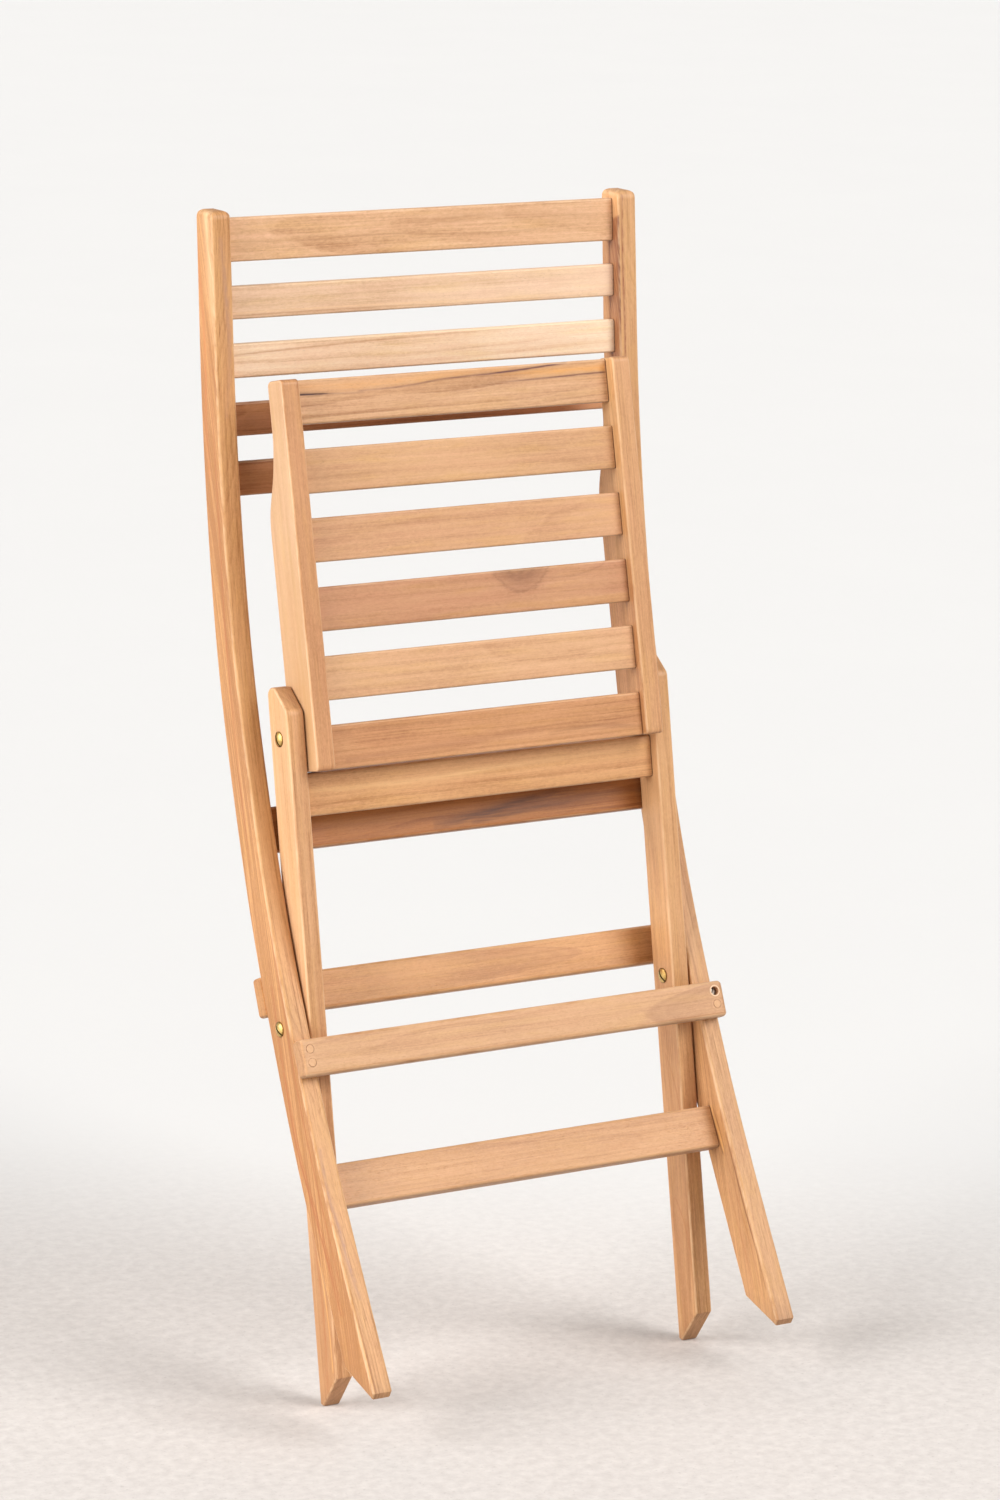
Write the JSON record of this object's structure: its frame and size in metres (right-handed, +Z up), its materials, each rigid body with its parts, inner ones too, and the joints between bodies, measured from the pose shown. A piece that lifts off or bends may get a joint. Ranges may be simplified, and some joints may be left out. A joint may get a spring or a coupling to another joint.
{
  "type": "folding patio chair",
  "caption": "Armless folding slatted teak patio chair, stored folded, with curved back stiles, straight crossing legs and a slatted seat that swings level as the legs open.",
  "frame": {"origin": "on the floor, in the middle of the folded chair's outline seen from above", "axes": "+X to the right seen from the front, +Y to the rear, +Z up; the front of the chair faces -Y"},
  "size_m": [0.446, 0.35, 1.0547],
  "materials": {
    "teak": "oiled teak, satin, straight to wavy grain",
    "teak_plug": "teak plugs, sanded flush",
    "brass": "polished, slightly tarnished",
    "screw_steel": "dull plated"
  },
  "bodies": {
    "back_frame": {"stile_left": "teak", "stile_right": "teak", "back_slat_1": "teak", "back_slat_2": "teak", "back_slat_3": "teak", "back_slat_4": "teak", "back_slat_5": "teak", "seat_support_rail": "teak", "low_stretcher": "teak", "front_cross_rail": "teak", "rear_cross_rail": "teak", "front_rail_screws": "screw_steel", "rear_rail_screws": "screw_steel", "front_rail_plugs": "teak_plug", "rear_rail_plugs": "teak_plug", "leg_pivot_bolts": "brass", "leg_pivot_nuts": "brass", "leg_pivot_washers": "brass"},
    "leg_frame": {"leg_left": "teak", "leg_right": "teak", "leg_top_rail": "teak", "seat_pivot_bolts": "brass", "seat_pivot_nuts": "brass", "seat_pivot_washers": "brass"},
    "seat": {"seat_rail_left": "teak", "seat_rail_right": "teak", "seat_slat_1": "teak", "seat_slat_2": "teak", "seat_slat_3": "teak", "seat_slat_4": "teak", "seat_slat_5": "teak", "seat_slat_6": "teak"}
  },
  "joints": [
    {"name": "leg_fold", "type": "hinge", "parent": "back_frame", "child": "leg_frame", "pos_m": [0, 0.00368, 0.34242], "axis": [1, 0, 0], "range_deg": [0, 69]},
    {"name": "seat_fold", "type": "hinge", "parent": "leg_frame", "child": "seat", "pos_m": [0, 0.04871, 0.5956], "axis": [-1, 0, 0], "range_deg": [0, 136.25]}
  ],
  "couplings": [
    {"joint": "seat_fold", "follows": "leg_fold", "ratio": 1.9739}
  ]
}
